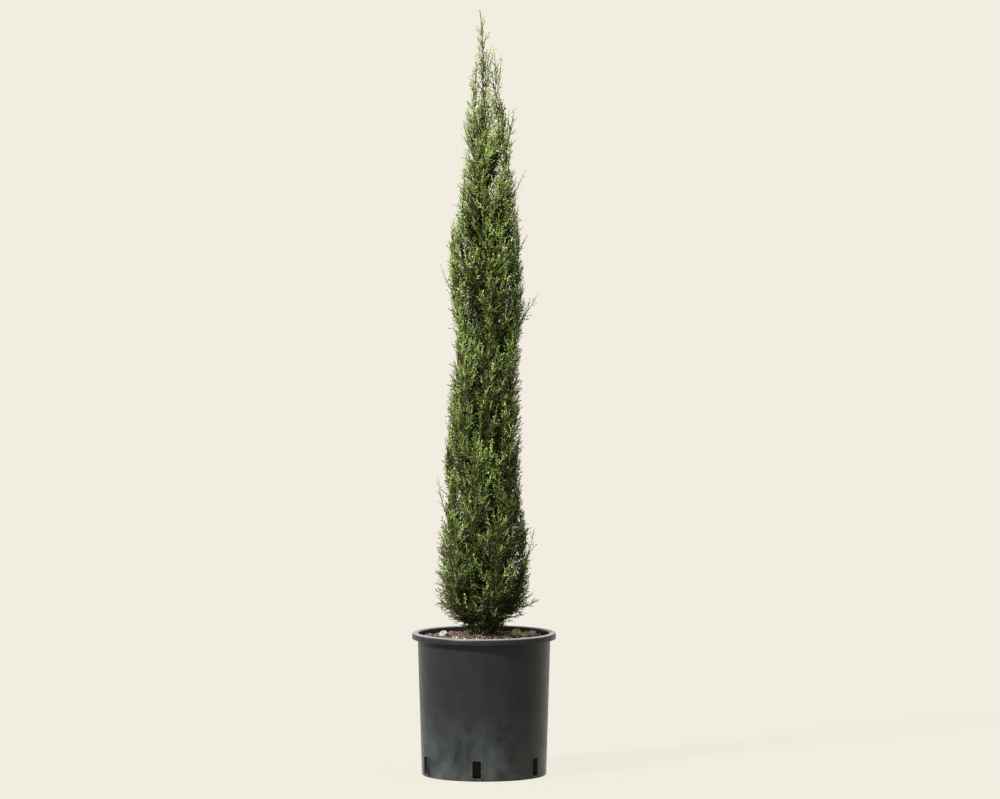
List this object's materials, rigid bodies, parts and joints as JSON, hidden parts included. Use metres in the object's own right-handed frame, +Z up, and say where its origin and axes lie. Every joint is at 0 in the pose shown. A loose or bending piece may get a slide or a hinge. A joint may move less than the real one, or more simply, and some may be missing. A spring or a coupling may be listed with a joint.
{
  "type": "italian cypress tree",
  "caption": "Young columnar cypress: upright plumes of fine green sprays round a central trunk, growing in a round black nursery pot with a rolled rim and drain slots.",
  "frame": {"origin": "centre of the pot's flat underside, on the ground", "axes": "+Z up along the trunk; -Y faces the viewer of the picture, +X to the viewer's right"},
  "size_m": [0.28, 0.28, 1.486],
  "materials": {
    "pot": "black moulded plastic with a soft sheen",
    "soil": "dark crumbly potting mix",
    "stone": "pale rough pebbles",
    "bark": "grey-brown stringy bark",
    "foliage": "matt mid green scale leaves"
  },
  "bodies": {
    "root": {"pot": "pot", "soil": "soil", "stone_1": "stone", "stone_2": "stone", "trunk": "bark", "bough_1_1": "bark", "bough_1_2": "bark", "bough_1_3": "bark", "bough_1_4": "bark", "bough_1_5": "bark", "bough_2_1": "bark", "bough_2_2": "bark", "bough_2_3": "bark", "bough_2_4": "bark", "bough_2_5": "bark", "bough_3_1": "bark", "bough_3_2": "bark", "bough_3_3": "bark", "bough_3_4": "bark", "bough_4_1": "bark", "bough_4_2": "bark", "bough_4_3": "bark", "bough_4_4": "bark", "bough_5_1": "bark", "bough_5_2": "bark", "bough_5_3": "bark", "bough_5_4": "bark", "foliage_1_1": "foliage", "foliage_1_2": "foliage", "foliage_1_3": "foliage", "foliage_1_4": "foliage", "foliage_1_5": "foliage", "foliage_2_1": "foliage", "foliage_2_2": "foliage", "foliage_2_3": "foliage", "foliage_2_4": "foliage", "foliage_2_5": "foliage", "foliage_3_1": "foliage", "foliage_3_2": "foliage", "foliage_3_3": "foliage", "foliage_3_4": "foliage", "foliage_4_1": "foliage", "foliage_4_2": "foliage", "foliage_4_3": "foliage", "foliage_4_4": "foliage", "foliage_5_1": "foliage", "foliage_5_2": "foliage", "foliage_5_3": "foliage", "foliage_5_4": "foliage", "foliage_6_1": "foliage", "foliage_6_2": "foliage", "foliage_6_3": "foliage", "foliage_7_1": "foliage", "foliage_7_2": "foliage", "foliage_7_3": "foliage", "foliage_8_1": "foliage", "foliage_8_2": "foliage", "foliage_leader": "foliage"}
  },
  "joints": []
}
